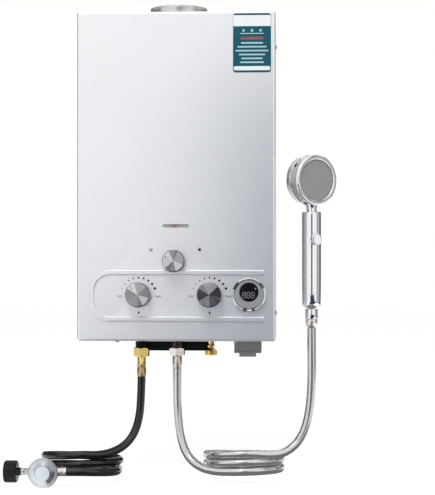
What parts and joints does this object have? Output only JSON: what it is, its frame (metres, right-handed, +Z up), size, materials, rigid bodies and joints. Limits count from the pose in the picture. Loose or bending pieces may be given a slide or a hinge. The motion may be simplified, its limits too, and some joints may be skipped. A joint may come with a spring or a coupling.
{
  "type": "portable propane water heater",
  "caption": "Wall-hung instant gas water heater in a silver case with control knobs and a display, a gas hose with regulator and a hand shower on a coiled steel hose.",
  "frame": {"origin": "centre of the hanging hole in the back plate, on the plane of the wall", "axes": "+Z up, +Y into the wall, so the front faces -Y and +X is to the right of someone who stands before it"},
  "size_m": [0.5305, 0.185, 0.774],
  "materials": {
    "cover_paint": "satin metallic silver enamel",
    "galvanised_sheet": "zinc-coated sheet, faint spangle",
    "screw_steel": "plated steel",
    "flue_steel": "circumferentially brushed stainless steel",
    "window_glass": "clear heat-resistant glass, smoke-darkened",
    "copper": "drawn copper with light heat tint",
    "burner_steel": "pressed stainless steel",
    "ceramic": "glazed white ceramic",
    "cast_alloy": "die-cast, grainy",
    "brass": "turned yellow brass",
    "dark_brass": "tarnished thread",
    "bracket_black": "black powder coat",
    "grey_plastic": "moulded, fine grain",
    "black_plastic": "moulded, satin",
    "battery_wrap": "plain wrapped cell",
    "contact_steel": "nickel-plated spring",
    "bezel_chrome": "polished",
    "display_silver": "satin silver",
    "display_black": "dark lens",
    "knob_metal": "circularly brushed face",
    "spindle_steel": "turned steel",
    "nickel": "nickel plate",
    "hose_rubber": "extruded satin rubber",
    "hose_steel": "interlocked stainless strip",
    "zinc": "pressed and die-cast zinc",
    "handset_chrome": "chrome-plated plastic",
    "spray_grey": "grey moulded face",
    "fan_plastic": "dark translucent moulding"
  },
  "bodies": {
    "casing": {"back_plate": "galvanised_sheet", "front_cover": "cover_paint", "bottom_panel": "galvanised_sheet", "cover_screws": "screw_steel", "flue_collar": "flue_steel", "sight_window": "window_glass", "exhaust_hood": "burner_steel", "heat_exchanger_shell": "copper", "heat_exchanger_fins": "copper", "heat_exchanger_tube": "copper", "burner_rack": "burner_steel", "burner_frame": "galvanised_sheet", "electrodes": "ceramic", "gas_valve": "cast_alloy", "solenoid_valve": "brass", "water_valve": "brass", "diaphragm_housing": "brass", "micro_switch": "black_plastic", "gas_manifold": "cast_alloy", "igniter_module": "black_plastic", "gas_inlet_union": "dark_brass", "hot_outlet_fitting": "dark_brass", "cold_inlet_fitting": "brass", "cold_pipe": "copper", "hot_pipe": "copper", "pipe_bracket": "bracket_black", "battery_case": "grey_plastic", "batteries": "battery_wrap", "battery_contacts": "contact_steel", "thermometer_bezel": "bezel_chrome", "thermometer_body": "display_silver", "thermometer_display": "display_black", "gas_hose_nut": "brass", "gas_hose_tail": "brass", "shower_hose_nut": "nickel", "shower_hose_tail": "nickel", "gas_hose": "hose_rubber", "gas_hose_coil": "hose_rubber", "shower_hose": "hose_steel", "shower_hose_coil": "hose_steel", "regulator_body": "zinc", "regulator_cover": "zinc", "regulator_fitting": "nickel", "regulator_stem": "zinc", "handle_body": "handset_chrome", "handle_nut": "handset_chrome", "shower_hose_cone": "nickel"},
    "gas_control": {"gas_knob": "knob_metal", "gas_spindle": "spindle_steel"},
    "water_control": {"water_knob": "knob_metal", "water_spindle": "spindle_steel"},
    "season_control": {"season_knob": "knob_metal", "season_spindle": "spindle_steel"},
    "battery_lid": {"battery_lid": "grey_plastic"},
    "stop_button": {"stop_button": "handset_chrome"},
    "shower_head": {"head_shell": "handset_chrome", "head_ring": "handset_chrome", "spray_plate": "spray_grey"},
    "turbine_fan": {"turbine_fan": "fan_plastic"},
    "tank_hand_nut": {"tank_hand_nut": "black_plastic"}
  },
  "joints": [
    {"name": "gas_knob_turn", "type": "hinge", "parent": "casing", "child": "gas_control", "pos_m": [-0.06, -0.14, -0.424], "axis": [0, -1, 0], "range_deg": [-139, 49]},
    {"name": "water_knob_turn", "type": "hinge", "parent": "casing", "child": "water_control", "pos_m": [0.054, -0.14, -0.424], "axis": [0, -1, 0], "range_deg": [-44, 144]},
    {"name": "season_knob_turn", "type": "hinge", "parent": "casing", "child": "season_control", "pos_m": [-0.003, -0.14, -0.37], "axis": [0, -1, 0], "range_deg": [-129, 0]},
    {"name": "battery_lid_hinge", "type": "hinge", "parent": "casing", "child": "battery_lid", "pos_m": [0.1145, -0.0373, -0.51765], "axis": [1, 0, 0], "range_deg": [0, 100]},
    {"name": "stop_button_push", "type": "slide", "parent": "casing", "child": "stop_button", "axis": [-0.5, 0.866, 0], "range_m": [0, 0.002], "stiffness_N_per_m": 400},
    {"name": "head_swivel", "type": "hinge", "parent": "casing", "child": "shower_head", "pos_m": [0.218, -0.09, -0.2905], "axis": [0, 0, 1], "continuous": true},
    {"name": "fan_spin", "type": "hinge", "parent": "shower_head", "child": "turbine_fan", "pos_m": [0.218, -0.09, -0.239], "axis": [0.6018, -0.7986, 0], "continuous": true},
    {"name": "hand_nut_turn", "type": "hinge", "parent": "casing", "child": "tank_hand_nut", "pos_m": [-0.26, -0.165, -0.7052], "axis": [1, 0, 0], "continuous": true}
  ]
}
